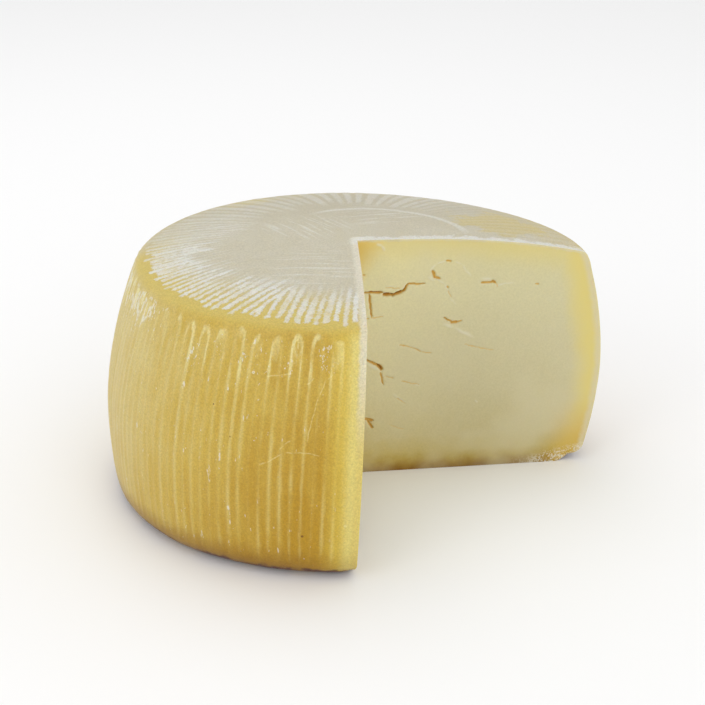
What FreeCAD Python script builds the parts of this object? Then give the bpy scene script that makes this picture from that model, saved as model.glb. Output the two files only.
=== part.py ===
"""Caciotta: a small wheel of pressed cheese, shaped in a reeded basket and opened with a knife.

Millimetres, +Z up. The origin is on the table, under the middle of the wheel.
The wheel is one solid: a skin of reeded, slightly uneven rind with a wedge cut out of it.
"""
import FreeCAD, Part
import math
import os

from FreeCAD import Vector

# ---------------------------------------------------------------- driving sizes
SIZES = [
    ("wheel_radius", 100.0, "radius at the belly, half way round its uneven outline"),
    ("wheel_height", 100.8, "table to the top of the dome"),
    ("belly_height", 40.0, "height of the widest ring"),
    ("dome_rise", 8.4, "how far the dome stands over the shoulder"),
    ("dome_power", 2.6, "2 is a round dome, more is flatter in the middle"),
    ("shoulder_radius", 88.9, "corner between side and dome"),
    ("shoulder_round", 2.4, "how far the shoulder's rounding runs along each face"),
    ("upper_power", 1.73, "how fast the side draws in above the belly"),
    ("foot_radius", 95.5, "corner between side and base"),
    ("foot_round", 6.8, "height of the foot's rounding"),
    ("foot_tuck", 8.2, "how far the flat base stays inside the foot"),
    ("foot_lift", 0.5, "how far the foot's corner is pulled off the table"),
    ("lower_power", 2.08, "how fast the side draws in below the belly"),
    ("lobe_swell", 2.0, "how far the outline's three soft lobes stand out"),
    ("lobe_turn", -6.0, "direction of the first lobe, degrees from +X"),
    ("wheel_lean", 4.2, "how far the top has slumped towards +X"),
    ("reed_count", 164, "basket reeds round the wheel"),
    ("side_reed_height", 0.45, "ridge that a reed leaves on the side"),
    ("top_reed_height", 0.55, "ridge that a reed leaves on the dome"),
    ("rim_band", 5.0, "smooth band each side of the shoulder"),
    ("reed_inner_radius", 48.0, "where the dome's reed marks die out"),
    ("reed_hub_radius", 4.0, "circle that the dome's slanted reeds point past"),
    ("flat_centre_radius", 8.0, "flat disc in the middle of the dome"),
    ("tip_x", -2.9, "where the two cuts meet on the table"),
    ("tip_y", -8.2, "where the two cuts meet on the table"),
    ("right_cut_turn", 9.1, "direction of the right cut, degrees from +X"),
    ("right_cut_lean", 1.7, "degrees that the right cut's top leans out over the missing wedge"),
    ("left_cut_turn", -87.0, "direction of the left cut, degrees from +X"),
    ("left_cut_lean", 1.9, "degrees that the left cut's top leans out over the missing wedge"),
    ("knife_reach", 160.0, "a knife block reaches past the rind on all sides"),
    ("crack_stand_off", 0.25, "a crack's widest ring stays this far outside the cut"),
]

# Openings where curds never knit, in the face of the right cut. Each is a lens:
# (name, distance along the cut from the tip on the table, depth below the top of the dome,
#  half length, half width, depth into the cheese, degrees that it rises to the right)
CRACK_FIELDS = ["along", "below", "half_length", "half_width", "depth", "rise"]
CRACKS = [
    ("main_start", 10.0, 22.1, 5.4, 0.35, 3.0, 0),
    ("main_mouth", 18.2, 22.6, 4.8, 0.6, 5.0, 0),
    ("main_step", 22.7, 20.8, 2.4, 0.4, 3.0, 58),
    ("main_end", 27.0, 19.2, 4.4, 0.35, 3.0, 3),
    ("branch", 8.8, 27.2, 5.4, 0.4, 3.0, -79),
    ("curd_nick", 34.4, 15.8, 2.2, 0.7, 3.0, -50),
    ("short_crack", 56.0, 19.3, 2.8, 0.4, 3.0, 0),
    ("middle_crack", 42.2, 35.1, 3.5, 0.5, 3.0, -20),
    ("top_spot", 39.5, 10.2, 1.1, 0.5, 1.5, -15),
    ("lower_crack", 11.0, 52.5, 3.8, 0.5, 3.0, -33),
    ("lower_tail", 14.3, 58.8, 3.6, 0.4, 3.0, -80),
    ("low_nick", 9.1, 79.3, 2.4, 0.7, 2.5, -48),
]

FOOT_ROWS = 4
SIDE_ROWS = 10
SHOULDER_ROWS = 4
DOME_ROWS = 12
COLUMNS_PER_REED = 3
WHEEL_NODE = "caciotta_wheel"

document = FreeCAD.newDocument("caciotta")


# ---------------------------------------------------------------- spreadsheets
def size_sheet():
    """One row for each driving size: name, value with its alias, and what it is."""
    sheet = document.addObject("Spreadsheet::Sheet", "sizes")
    for row, (alias, value, meaning) in enumerate(SIZES, start=1):
        sheet.set(f"A{row}", alias)
        sheet.set(f"B{row}", str(value))
        sheet.set(f"C{row}", meaning)
        sheet.setAlias(f"B{row}", alias)
    return sheet


def crack_sheet():
    """One row for each crack, one column for each of its sizes."""
    sheet = document.addObject("Spreadsheet::Sheet", "cracks")
    for row, (name, *values) in enumerate(CRACKS, start=1):
        sheet.set(f"A{row}", name)
        for letter, field, value in zip("BCDEFG", CRACK_FIELDS, values):
            sheet.set(f"{letter}{row}", str(value))
            sheet.setAlias(f"{letter}{row}", f"{name}_{field}")
    return sheet


sheet = size_sheet()
crack_sheet()
document.recompute()


def size(alias):
    return float(sheet.get(alias))


# ---------------------------------------------------------------- the meridian
def shoulder_height():
    return size("wheel_height") - size("dome_rise")


def side_radius(height):
    """Barrel side: widest at the belly, drawn in towards the shoulder and the foot."""
    belly = size("belly_height")
    widest = size("wheel_radius")
    if height >= belly:
        share = (height - belly) / (shoulder_height() - belly)
        return widest - (widest - size("shoulder_radius")) * share ** size("upper_power")
    share = (belly - height) / belly
    return widest - (widest - size("foot_radius")) * share ** size("lower_power")


def dome_height(radius):
    share = radius / size("shoulder_radius")
    return size("wheel_height") - size("dome_rise") * share ** size("dome_power")


def rounded(start, corner, end, rows):
    """Points of a soft corner: a parabola from start to end, pulled towards corner."""
    points = []
    for row in range(rows):
        share = row / rows
        first = start + (corner - start) * share
        second = corner + (end - corner) * share
        points.append(first + (second - first) * share)
    return points


def meridian_points():
    """Half section of the wheel as (radius, 0, height), from the base's edge to the dome's centre."""
    foot_top = size("foot_round")
    shoulder_round = size("shoulder_round")
    side_top = shoulder_height() - shoulder_round
    dome_edge = size("shoulder_radius") - shoulder_round

    base_edge = Vector(size("foot_radius") - size("foot_tuck"), 0, 0)
    foot_corner = Vector(size("foot_radius"), 0, size("foot_lift"))
    side_start = Vector(side_radius(foot_top), 0, foot_top)
    points = rounded(base_edge, foot_corner, side_start, FOOT_ROWS)

    for row in range(SIDE_ROWS):
        height = foot_top + (side_top - foot_top) * row / SIDE_ROWS
        points.append(Vector(side_radius(height), 0, height))

    side_end = Vector(side_radius(side_top), 0, side_top)
    shoulder_corner = Vector(size("shoulder_radius"), 0, shoulder_height())
    dome_start = Vector(dome_edge, 0, dome_height(dome_edge))
    points += rounded(side_end, shoulder_corner, dome_start, SHOULDER_ROWS)

    flat = size("flat_centre_radius")
    for row in range(DOME_ROWS + 1):
        radius = dome_edge + (flat - dome_edge) * row / DOME_ROWS
        points.append(Vector(radius, 0, dome_height(radius)))
    return points


def meridian_curve():
    curve = Part.BSplineCurve()
    curve.interpolate(Points=meridian_points())
    return curve


# ---------------------------------------------------------------- the reeded skin
def outline_factor(angle):
    """The wheel isn't quite round: three soft lobes, as a hand-turned cheese has."""
    swell = size("lobe_swell") / size("wheel_radius")
    return 1 + swell * math.cos(3 * (angle - math.radians(size("lobe_turn"))))


def slump(height):
    return size("wheel_lean") * (height / size("wheel_height") - 0.5)


def fade(value, start, end):
    """0 before start, 1 after end, smooth between them."""
    share = min(max((value - start) / (end - start), 0), 1)
    return share * share * (3 - 2 * share)


def reed_height(radius, height):
    """Height of a reed's ridge at a place on the meridian: none on the foot, the rim band and the centre."""
    band = size("rim_band")
    if height < shoulder_height() and radius > size("shoulder_radius"):
        foot = fade(height, size("foot_round") / 2, size("foot_round") * 2)
        rim = fade(shoulder_height() - height, band / 2, band * 2)
        return size("side_reed_height") * foot * rim
    outer = fade(size("shoulder_radius") - radius, band / 2, band)
    inner = fade(radius, size("reed_inner_radius"), size("shoulder_radius") - band)
    return size("top_reed_height") * outer * inner


def reed_slant(radius):
    """On the dome a reed is a straight line that passes the centre at the hub's radius."""
    hub = size("reed_hub_radius")
    edge = size("shoulder_radius")
    inside = min(max(radius, size("reed_inner_radius")), edge)
    return math.asin(hub / inside) - math.asin(hub / edge)


def skin_surface():
    """Every row is a pole of the meridian, carried round the outline with a crest for each reed."""
    curve = meridian_curve()
    meridian = curve.getPoles()
    reeds = int(size("reed_count"))
    columns = reeds * COLUMNS_PER_REED
    rows = []
    for index, pole in enumerate(meridian):
        before = meridian[max(index - 1, 0)]
        after = meridian[min(index + 1, len(meridian) - 1)]
        along = (after - before).normalize()
        outward = Vector(along.z, 0, -along.x)
        ridge = reed_height(pole.x, pole.z)
        slant = reed_slant(pole.x) if pole.z > shoulder_height() else 0
        row = []
        for column in range(columns):
            lift = ridge if column % COLUMNS_PER_REED == 0 else 0
            place = pole + outward * lift
            angle = 2 * math.pi * column / columns + slant
            radius = place.x * outline_factor(angle)
            x = radius * math.cos(angle) + slump(place.z)
            row.append(Vector(x, radius * math.sin(angle), place.z))
        rows.append(row)
    round_poles = [list(column) for column in zip(*rows)]
    round_knots = [float(column) for column in range(columns + 1)]
    surface = Part.BSplineSurface()
    surface.buildFromPolesMultsKnots(
        round_poles,
        [1] * (columns + 1),
        curve.getMultiplicities(),
        round_knots,
        curve.getKnots(),
        True,
        False,
        3,
        curve.Degree,
    )
    return surface


def whole_wheel():
    """The skin, closed by the flat base it rests on and the flat disc in the middle of the dome."""
    skin = skin_surface().toShape()
    rings = [edge for edge in skin.Edges if edge.BoundBox.ZLength < 0.01]
    faces = [skin] + [Part.Face(Part.Wire([ring])) for ring in rings]
    shell = Part.Shell(faces)
    shell.sewShape()
    wheel = document.addObject("Part::Feature", "whole_wheel")
    wheel.Shape = Part.Solid(shell)
    return wheel


# ---------------------------------------------------------------- the missing wedge
def cut_frame(turn, lean):
    """Placement of a knife cut: origin at the tip, XZ in the knife's plane, +Y towards the missing wedge."""
    return f"placement(vector(sizes.tip_x; sizes.tip_y; 0); rotation({turn}; 0; {lean}))"


# The right cut is seen from the open side, so its frame is turned half round and -X runs to the rind.
RIGHT_CUT = cut_frame("sizes.right_cut_turn + 180", "-sizes.right_cut_lean")
LEFT_CUT = cut_frame("sizes.left_cut_turn", "-sizes.left_cut_lean")


def knife_block(name, cut):
    """All that lies on the wedge's side of one cut: a block whose face is the knife's plane."""
    block = document.addObject("Part::Box", name)
    block.setExpression("Length", "2 * sizes.knife_reach")
    block.setExpression("Width", "sizes.knife_reach")
    block.setExpression("Height", "2 * sizes.knife_reach")
    corner = "placement(vector(-sizes.knife_reach; 0; -sizes.knife_reach / 2); rotation(0; 0; 0))"
    block.setExpression("Placement", f"{cut} * {corner}")
    return block


def missing_wedge():
    """The wedge that was cut out is what lies on the open side of both cuts."""
    wedge = document.addObject("Part::MultiCommon", "missing_wedge")
    wedge.Shapes = [knife_block("right_knife_block", RIGHT_CUT), knife_block("left_knife_block", LEFT_CUT)]
    return wedge


def crack(name):
    """A lens set in the right cut, about half of it in the cheese."""
    lens = document.addObject("Part::Ellipsoid", name)
    lens.setExpression("Radius1", f"cracks.{name}_half_width")
    lens.setExpression("Radius2", f"cracks.{name}_half_length")
    lens.setExpression("Radius3", f"cracks.{name}_depth")
    place = f"vector(-cracks.{name}_along; sizes.crack_stand_off; sizes.wheel_height - cracks.{name}_below)"
    lens.setExpression("Placement", f"{RIGHT_CUT} * placement({place}; rotation(0; cracks.{name}_rise; 0))")
    return lens


def cut_away(name, base, tool):
    cut = document.addObject("Part::Cut", name)
    cut.Base = base
    cut.Tool = tool
    return cut


def caciotta_wheel():
    """The whole wheel, without the wedge and then without the cracks."""
    opened = cut_away("opened_wheel", whole_wheel(), missing_wedge())
    cracks = document.addObject("Part::MultiFuse", "all_cracks")
    cracks.Shapes = [crack(name) for name, *_ in CRACKS]
    wheel = cut_away(WHEEL_NODE, opened, cracks)
    wheel.Label = WHEEL_NODE
    return wheel


# ---------------------------------------------------------------- build, check, write
def check(parts):
    for feature in document.Objects:
        if {"Invalid", "Error"} & set(feature.State):
            raise RuntimeError(f"{feature.Label} failed: {feature.State}")
    for part in parts:
        if part.Shape.isNull() or not part.Shape.isValid():
            raise RuntimeError(f"{part.Label} has no valid shape")
        if len(part.Shape.Solids) != 1:
            raise RuntimeError(f"{part.Label} has {len(part.Shape.Solids)} solids")


nodes = [caciotta_wheel()]
document.recompute()
check(nodes)
os.makedirs("parts", exist_ok=True)
for node in nodes:
    node.Shape.exportStep(f"parts/{node.Label}.step")
    box = node.Shape.BoundBox
    print(node.Label, f"{node.Shape.Volume / 1000:.1f} cm3", len(node.Shape.Faces), "faces")
    corners = (box.XMin, box.YMin, box.ZMin, box.XMax, box.YMax, box.ZMax)
    print("box", [round(corner, 2) for corner in corners])
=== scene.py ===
# %% [markdown]
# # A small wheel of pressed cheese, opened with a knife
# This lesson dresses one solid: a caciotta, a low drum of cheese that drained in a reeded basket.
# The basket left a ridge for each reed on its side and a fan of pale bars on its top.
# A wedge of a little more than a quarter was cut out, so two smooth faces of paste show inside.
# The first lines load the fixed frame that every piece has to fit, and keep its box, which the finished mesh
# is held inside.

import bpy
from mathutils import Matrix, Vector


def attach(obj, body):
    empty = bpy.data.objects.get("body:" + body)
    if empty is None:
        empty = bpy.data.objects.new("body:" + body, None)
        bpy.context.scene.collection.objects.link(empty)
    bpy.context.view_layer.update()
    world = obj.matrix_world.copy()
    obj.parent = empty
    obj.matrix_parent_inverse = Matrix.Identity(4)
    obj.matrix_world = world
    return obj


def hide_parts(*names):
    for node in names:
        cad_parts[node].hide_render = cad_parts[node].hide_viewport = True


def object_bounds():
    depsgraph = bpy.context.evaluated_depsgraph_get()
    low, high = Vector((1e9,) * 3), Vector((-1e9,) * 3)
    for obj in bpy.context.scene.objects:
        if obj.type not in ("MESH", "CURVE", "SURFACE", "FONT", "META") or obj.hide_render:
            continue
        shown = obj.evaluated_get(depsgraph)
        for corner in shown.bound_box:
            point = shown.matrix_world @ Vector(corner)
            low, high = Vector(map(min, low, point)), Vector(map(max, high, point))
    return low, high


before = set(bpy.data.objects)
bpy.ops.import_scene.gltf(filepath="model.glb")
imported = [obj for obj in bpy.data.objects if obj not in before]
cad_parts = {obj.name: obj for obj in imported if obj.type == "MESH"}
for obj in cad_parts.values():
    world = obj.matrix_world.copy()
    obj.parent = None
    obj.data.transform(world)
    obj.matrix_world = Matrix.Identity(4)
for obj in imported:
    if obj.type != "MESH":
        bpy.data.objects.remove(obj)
cad_low, cad_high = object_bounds()
print("frame nodes", sorted(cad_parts), "high", [round(value, 4) for value in cad_high])

# %% [markdown]
# ## Helpers
# Blender works in metres and a cheesemaker thinks in millimetres, so MM turns one into the other.
# `fade` is the one curve used for every soft edge below: 0 before start, 1 after end, smooth between.

# %% Units and the soft step
import bisect
import math
import random

import bmesh
import bpy
from mathutils import Matrix, Vector, noise

MM = 0.001
FULL_TURN = 2 * math.pi
UP = Vector((0, 0, 1))


def fade(value, start, end):
    share = min(max((value - start) / (end - start), 0), 1)
    return share * share * (3 - 2 * share)


def ripple(x, y, z, finer=1.0):
    """Steady smooth noise from -1 to 1."""
    return noise.noise(Vector((x, y, z)) * finer)


# %% [markdown]
# ## The wheel's form
# A real wheel is a barrel: widest below the middle, drawn in to a crisp shoulder, with a low dome.
# It could be sculpted, but the frame was made from named sizes, so the same sizes are used here.
# The meridian is half of the wheel's section, as a lathe would follow it.

# %% Sizes of the wheel
WHEEL_RADIUS = 100 * MM
WHEEL_HEIGHT = 100.8 * MM
BELLY_HEIGHT = 40 * MM
DOME_RISE = 8.4 * MM
DOME_POWER = 2.6
SHOULDER_RADIUS = 88.9 * MM
SHOULDER_ROUND = 2.4 * MM
UPPER_POWER = 1.73
FOOT_RADIUS = 95.5 * MM
FOOT_ROUND = 6.8 * MM
FOOT_TUCK = 8.2 * MM
FOOT_LIFT = 0.5 * MM
LOWER_POWER = 2.08
SHOULDER_HEIGHT = WHEEL_HEIGHT - DOME_RISE
REEDS = 164


def side_radius(height):
    if height >= BELLY_HEIGHT:
        share = (height - BELLY_HEIGHT) / (SHOULDER_HEIGHT - BELLY_HEIGHT)
        return WHEEL_RADIUS - (WHEEL_RADIUS - SHOULDER_RADIUS) * share**UPPER_POWER
    share = (BELLY_HEIGHT - height) / BELLY_HEIGHT
    return WHEEL_RADIUS - (WHEEL_RADIUS - FOOT_RADIUS) * share**LOWER_POWER


def dome_height(radius):
    return WHEEL_HEIGHT - DOME_RISE * (radius / SHOULDER_RADIUS) ** DOME_POWER


def soft_corner(start, corner, end, rows):
    """Points of a parabola from start to end, pulled towards corner, without its end."""
    points = []
    for row in range(rows):
        share = row / rows
        points.append(start.lerp(corner, share).lerp(corner.lerp(end, share), share))
    return points


# %% [markdown]
# The outline isn't quite round: it has three soft lobes, and the top has slumped a little sideways.
# Both are undone again by `on_the_wheel`, so that a place in space can be asked where it is on the
# meridian. That is how the cut edges find out how deep under the rind they are.

# %% Out of round
LOBE_SHARE = 0.02
LOBE_TURN = math.radians(-6)
WHEEL_LEAN = 4.2 * MM


def outline_factor(angle):
    return 1 + LOBE_SHARE * math.cos(3 * (angle - LOBE_TURN))


def slump(height):
    return WHEEL_LEAN * (height / WHEEL_HEIGHT - 0.5)


def on_the_wheel(place):
    """(angle, radius, height) of a place, as if the wheel were round and upright."""
    x = place.x - slump(place.z)
    angle = math.atan2(place.y, x) % FULL_TURN
    return angle, math.hypot(x, place.y) / outline_factor(angle), place.z


# %% [markdown]
# ## Marks of the basket
# Up the side each reed left a narrow crest. Just below the rim neighbouring crests lean together and
# close in small arches, because the reeds were bent over there. Pale cream gathered inside the arches,
# brightened by a painted highlight over them.
# Every reed has its own strength, drawn once from a seeded list, so each run is the same.

# %% Random draws for each reed
draw = random.Random(41)
reed_strength = [draw.uniform(0.25, 1.0) for _ in range(REEDS)]
arch_drop = [draw.uniform(-0.8, 2.4) * MM for _ in range(REEDS)]
cream_and_highlight_strength = [draw.choice((0.15, 0.5, 0.9, 1.0)) for _ in range(REEDS)]
cream_and_highlight_length = [draw.uniform(3, 11) * MM for _ in range(REEDS)]
print("reeds drawn", len(reed_strength))

# %% Ridges of the side
ARCH_START = 86.0 * MM
ARCH_RISE = 4.2 * MM
CREST_SPREAD = 0.36
CREAM_AND_HIGHLIGHT_TOP = 90.8 * MM


def reed_pair(angle, height):
    """(pair of reeds, reed, distance from the middle of the pair: 0 there, 1 between two pairs)."""
    wander = 0.07 * ripple(angle * 9, 3.1, height / (30 * MM))
    phase = (angle / FULL_TURN * REEDS + wander) % REEDS
    pair = int(phase / 2)
    return pair, int(phase) % REEDS, abs(phase / 2 - pair - 0.5) * 2


def side_crest(angle, height):
    """0 in the grooves, 1 on the crest of a strong ridge."""
    pair, reed, from_middle = reed_pair(angle, height)
    climb = max(height - ARCH_START + arch_drop[pair], 0) / ARCH_RISE
    from_crest = math.hypot(from_middle / 0.5, climb) - 1
    crest = math.exp(-((from_crest / CREST_SPREAD) ** 2))
    slow = 0.5 + 0.5 * ripple(reed * 1.7, 8.2, height / (34 * MM))
    strength = reed_strength[reed] * (0.6 + slow)
    foot = fade(height, 3 * MM, 14 * MM)
    return max(min(crest * strength, 1.2), 0) * foot


def rim_cream_and_highlight(angle, height):
    """1 where cream gathered inside an arch, under the rim, with a painted highlight over it."""
    pair, _, from_middle = reed_pair(angle, height)
    top = CREAM_AND_HIGHLIGHT_TOP - arch_drop[pair] * 0.4
    inside = fade(height, top - 1.5 * cream_and_highlight_length[pair], top - 0.4 * cream_and_highlight_length[pair])
    return cream_and_highlight_strength[pair] * inside * fade(height, top, top - 1.2 * MM) * fade(from_middle, 0.8, 0.35)


# %% [markdown]
# On the top the basket's bars lay in two fans that meet near the front: in the left fan a bar turns
# forward on its way in, in the right fan it turns back, and the left fan lies over the right one.
# The bars are narrow and close at the front, and broader and fainter at the back. Their places come
# from steps of uneven width, and each bar has its own length, because a basket is woven by hand.

# %% Places of the bars
FAN_JOINT = 243.6
bar_edges = [0.0]
while bar_edges[-1] < 362:
    step = 4.1 + (2.25 - 4.1) * fade(bar_edges[-1], 135, 188)
    wide = draw.choice((1.0, 1.0, 1.0, 1.4))
    bar_edges.append(bar_edges[-1] + step * wide * draw.uniform(0.92, 1.1))
BARS = len(bar_edges)
bar_width = [draw.uniform(1.6, 2.4) * MM for _ in range(BARS)]
bar_thick_end = [draw.uniform(57, 70) * MM for _ in range(BARS)]
bar_thin_end = [draw.uniform(50, 58) * MM for _ in range(BARS)]
bar_outer = [draw.uniform(82.6, 86.0) * MM for _ in range(BARS)]
bar_strength = [draw.uniform(0.75, 1.0) for _ in range(BARS)]
print("bars on the top", BARS)


# %% Bars of the top
def bar_turn(base, radius, right_fan):
    """Degrees that a straight bar has turned on its way in from the rim, where it stood at base."""
    hub = 2 * MM + 11 * MM * fade(base, 224, FAN_JOINT)
    if right_fan:
        hub = -12 * MM * fade(base, 268, FAN_JOINT)
    inside = min(max(radius, 38 * MM), SHOULDER_RADIUS)
    return math.degrees(math.asin(hub / inside) - math.asin(hub / SHOULDER_RADIUS))


def bar_base(degrees, radius, right_fan):
    """Where a bar through this place meets the rim, found by trying and correcting."""
    base = degrees
    for _ in range(5):
        base = degrees - bar_turn(base, radius, right_fan)
    return base


def top_bar(angle, radius):
    """(how far inside a bar a place is, how white the bar is there, partly a painted highlight)."""
    degrees = math.degrees(angle)
    base = bar_base(degrees, radius, False)
    if base > FAN_JOINT:
        base = max(bar_base(degrees, radius, True), FAN_JOINT)
    bar = bisect.bisect(bar_edges, base) - 1
    pitch = math.radians(bar_edges[bar + 1] - bar_edges[bar]) * radius
    off = abs(math.radians(base - (bar_edges[bar] + bar_edges[bar + 1]) / 2)) * radius
    front = fade(base, 176, 190)
    merged = fade(base, 216, 202) * front
    thick = fade(radius, bar_thick_end[bar] - 3 * MM, bar_thick_end[bar] + 3 * MM)
    front_half = bar_width[bar] / 2 * (0.5 + 0.5 * thick)
    front_half += max(0.43 * pitch - front_half, 0) * merged * thick
    half = 0.30 * pitch + (front_half - 0.30 * pitch) * front
    thin_end = bar_thin_end[bar] - 10 * MM * (1 - front)
    outer = bar_outer[bar] + 1.5 * MM * (1 - front)
    inside = min(half - off, outer - radius, radius - thin_end)
    faint = 0.42 * fade(radius, thin_end - MM, thin_end + 9 * MM)
    white = faint + (1 - faint) * thick * front
    white *= 1 - 0.7 * fade(base, 66, 44)
    return max(inside, -3 * MM), white * bar_strength[bar]


# %% Height of the skin over the smooth wheel
CREST_HEIGHT = 0.30 * MM
BAR_HEIGHT = 0.24 * MM


def skin_relief(angle, radius, height, on_top):
    wobble = ripple(math.cos(angle) * 3.2, math.sin(angle) * 3.2, height / (30 * MM))
    grain = ripple(math.cos(angle) * 40, math.sin(angle) * 40, height / (5 * MM))
    if on_top:
        inside, white = top_bar(angle, radius)
        bar = BAR_HEIGHT * white * fade(inside, -0.3 * MM, 0.5 * MM)
        return bar + 0.05 * MM * grain - 0.14 * MM
    crest = side_crest(angle, height) + 0.5 * rim_cream_and_highlight(angle, height)
    return CREST_HEIGHT * crest + 0.22 * MM * wobble + 0.05 * MM * grain - 0.3 * MM


print("crest height", CREST_HEIGHT, "bar height", BAR_HEIGHT)

# %% [markdown]
# ## Turning the wheel
# The outer skin is a profile spun round the upright axis, six columns to a reed, so that a crest has
# room to rise and fall. A spin of a thousand steps is slow, so one sector is spun and copied round,
# and the seams are merged. The middle of the top and the base carry no reeds: each open ring is
# filled with one face, and planes rule that face into squares, which leaves no pole in the middle.

# %% Profile of the skin
TOP_DISC_RADIUS = 47 * MM
SIDE_ROWS = 54
TOP_ROWS = 26


def rind_profile():
    foot_start = Vector((FOOT_RADIUS - FOOT_TUCK, 0, 0))
    foot_corner = Vector((FOOT_RADIUS, 0, FOOT_LIFT))
    foot_end = Vector((side_radius(FOOT_ROUND), 0, FOOT_ROUND))
    side_top = SHOULDER_HEIGHT - SHOULDER_ROUND
    side_end = Vector((side_radius(side_top), 0, side_top))
    shoulder_corner = Vector((SHOULDER_RADIUS, 0, SHOULDER_HEIGHT))
    edge = SHOULDER_RADIUS - SHOULDER_ROUND
    dome_start = Vector((edge, 0, dome_height(edge)))
    points = soft_corner(foot_start, foot_corner, foot_end, 6)
    for row in range(SIDE_ROWS):
        height = FOOT_ROUND + (side_top - FOOT_ROUND) * row / SIDE_ROWS
        points.append(Vector((side_radius(height), 0, height)))
    points += soft_corner(side_end, shoulder_corner, dome_start, 5)
    for row in range(TOP_ROWS + 1):
        radius = edge + (TOP_DISC_RADIUS - edge) * row / TOP_ROWS
        points.append(Vector((radius, 0, dome_height(radius))))
    return points


# %% Spin one sector and copy it round
SECTORS = 41
COLUMNS = REEDS * 6

wheel = bmesh.new()
corners = [wheel.verts.new(point) for point in rind_profile()]
lines = [wheel.edges.new(pair) for pair in zip(corners, corners[1:])]
bmesh.ops.spin(
    wheel, geom=corners + lines, cent=(0, 0, 0), axis=UP, dvec=(0, 0, 0),
    angle=FULL_TURN / SECTORS, steps=COLUMNS // SECTORS, use_merge=False, use_duplicate=False,
)
sector = [*wheel.verts, *wheel.edges, *wheel.faces]
for turn in range(1, SECTORS):
    copy = bmesh.ops.duplicate(wheel, geom=sector)["geom"]
    moved = [part for part in copy if isinstance(part, bmesh.types.BMVert)]
    turned = Matrix.Rotation(FULL_TURN * turn / SECTORS, 3, UP)
    bmesh.ops.rotate(wheel, verts=moved, cent=(0, 0, 0), matrix=turned)
bmesh.ops.remove_doubles(wheel, verts=wheel.verts, dist=0.001 * MM)
print("skin of", len(wheel.faces), "faces")


# %% Patches ruled into squares
ON_LINE = 0.04 * MM
RIND = 0
PASTE = 1


def ruling(edges, way, spacing):
    """The planes across one way that rule a patch: the way, and how far along it each plane lies."""
    reach = [way.dot(vert.co) for edge in edges for vert in edge.verts]
    first = min(reach)
    return way, [first + step * spacing for step in range(1, int((max(reach) - first) / spacing) + 1)]


def mark_rim(edges, rulings):
    """Puts a point wherever a ruling plane crosses the rim, and returns all of the rim's edges."""
    marked = list(edges)
    for way, offsets in rulings:
        for offset in offsets:
            for edge in list(marked):
                start, end = edge.verts
                before = way.dot(start.co) - offset
                after = way.dot(end.co) - offset
                if before * after < 0 and min(abs(before), abs(after)) > ON_LINE:
                    marked.append(bmesh.utils.edge_split(edge, start, before / (before - after))[0])
    return marked


def add_patch(wheel, rim, rulings, material, lift=None):
    """Fills a flat rim with one face, cuts it along planes in a small mesh, and adds it to the wheel."""
    small = bmesh.new()
    twins = {vert: None for edge in rim for vert in edge.verts}
    for vert in twins:
        twins[vert] = small.verts.new(vert.co)
    edges = [small.edges.new([twins[vert] for vert in edge.verts]) for edge in rim]
    bmesh.ops.edgeloop_fill(small, edges=edges, mat_nr=material, use_smooth=True)
    for way, offsets in rulings:
        for offset in offsets:
            parts = [*small.verts, *small.edges, *small.faces]
            bmesh.ops.bisect_plane(small, geom=parts, dist=ON_LINE, plane_co=way * offset, plane_no=way)
    for vert in small.verts:
        if lift:
            vert.co.z = lift(math.hypot(vert.co.x, vert.co.y))
    patch = bpy.data.meshes.new("patch")
    small.to_mesh(patch)
    small.free()
    wheel.from_mesh(patch)
    bpy.data.meshes.remove(patch)


def join_seams(wheel):
    seams = {vert for edge in wheel.edges if edge.is_boundary for vert in edge.verts}
    bmesh.ops.remove_doubles(wheel, verts=list(seams), dist=0.002 * MM)
    bmesh.ops.recalc_face_normals(wheel, faces=wheel.faces)


# %% Close the top and the base
EAST = Vector((1, 0, 0))
NORTH = Vector((0, 1, 0))
rings = [edge for edge in wheel.edges if edge.is_boundary]
for above, spacing, lift in ((True, 1.1 * MM, dome_height), (False, 4 * MM, None)):
    ring = [edge for edge in rings if (edge.verts[0].co.z > BELLY_HEIGHT) == above]
    rulings = [ruling(ring, way, spacing) for way in (EAST, NORTH)]
    add_patch(wheel, mark_rim(ring, rulings), rulings, RIND, lift)
join_seams(wheel)
print("whole wheel", len(wheel.faces), "faces, open edges", sum(edge.is_boundary for edge in wheel.edges))

# %% [markdown]
# Next every point moves: first along the smooth skin's own normal by the relief, then out to the
# lobed outline and over by the slump. The base stays flat, because the cheese stands on it.

# %% Raise the relief
wheel.normal_update()
for vert in wheel.verts:
    place = vert.co.copy()
    angle = math.atan2(place.y, place.x) % FULL_TURN
    radius = math.hypot(place.x, place.y)
    on_top = place.z > SHOULDER_HEIGHT - 0.6 * SHOULDER_ROUND and radius < SHOULDER_RADIUS
    if place.z > 0.5 * MM:
        place += vert.normal * skin_relief(angle, radius, place.z, on_top)
    radius = math.hypot(place.x, place.y) * outline_factor(angle)
    vert.co = (radius * math.cos(angle) + slump(place.z), radius * math.sin(angle), place.z)
print("relief raised on", len(wheel.verts), "points")

# %% [markdown]
# ## Cutting out the wedge
# A knife makes plane cuts, so two planes part the mesh with `bisect_plane`, each only over the faces
# near its own half. Both strokes lean out over the wedge, and they meet in a tip just off the centre.
# What lies on the open side of both planes is deleted.

# %% The two knife planes
KNIFE_TIP = Vector((-2.9, -8.2, 0)) * MM
RIGHT_TURN = math.radians(9.1)
LEFT_TURN = math.radians(-87)
RIGHT_LEAN = math.radians(1.7)
LEFT_LEAN = math.radians(1.9)

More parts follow.
